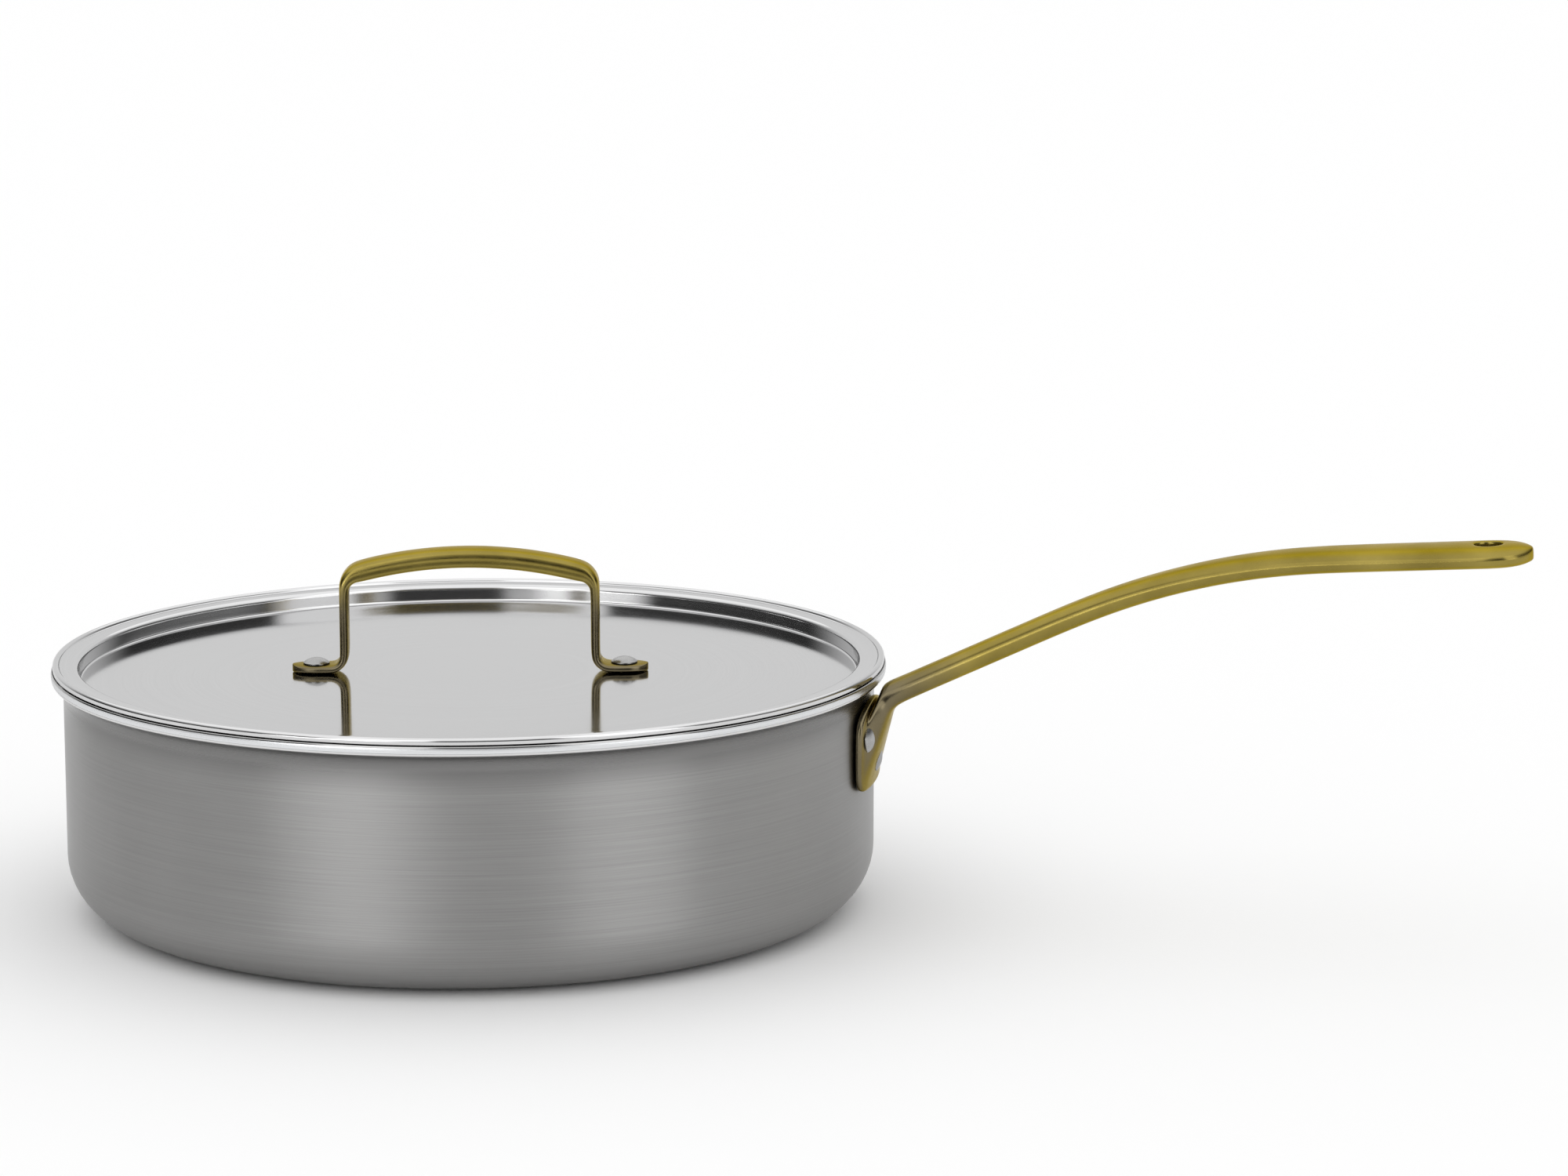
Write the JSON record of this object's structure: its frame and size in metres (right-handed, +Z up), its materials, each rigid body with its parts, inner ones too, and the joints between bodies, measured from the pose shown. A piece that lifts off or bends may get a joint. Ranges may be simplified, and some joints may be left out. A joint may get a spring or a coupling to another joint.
{
  "type": "saute pan",
  "caption": "Straight-sided clad steel saute pan with a flared rim, a riveted cast bronze handle and a sunk lift-off lid with a loop handle.",
  "frame": {"origin": "centre of the flat base's underside, on the pan's axis", "axes": "+Z up along the pan's axis, +X along the long handle"},
  "size_m": [0.4455, 0.2538, 0.121],
  "materials": {
    "satin_steel": "satin, turned fine brush lines round the wall",
    "core_aluminium": "ground edge at the rim",
    "cooking_steel": "satin inside, polished on the flared rim",
    "polished_steel": "mirror polish",
    "cast_bronze": "polished casting",
    "rivet_steel": "tumbled satin"
  },
  "bodies": {
    "pan": {"outer_steel_ply": "satin_steel", "aluminium_core": "core_aluminium", "inner_steel_ply": "cooking_steel", "long_handle": "cast_bronze", "handle_rivet_upper_left": "rivet_steel", "handle_rivet_upper_right": "rivet_steel", "handle_rivet_lower": "rivet_steel"},
    "lid": {"lid_disc": "polished_steel", "lid_handle": "cast_bronze", "lid_rivet_left": "rivet_steel", "lid_rivet_right": "rivet_steel"}
  },
  "joints": [
    {"name": "lid_lift", "type": "slide", "parent": "pan", "child": "lid", "axis": [0, 0, 1], "range_m": [0, 0.15]}
  ]
}
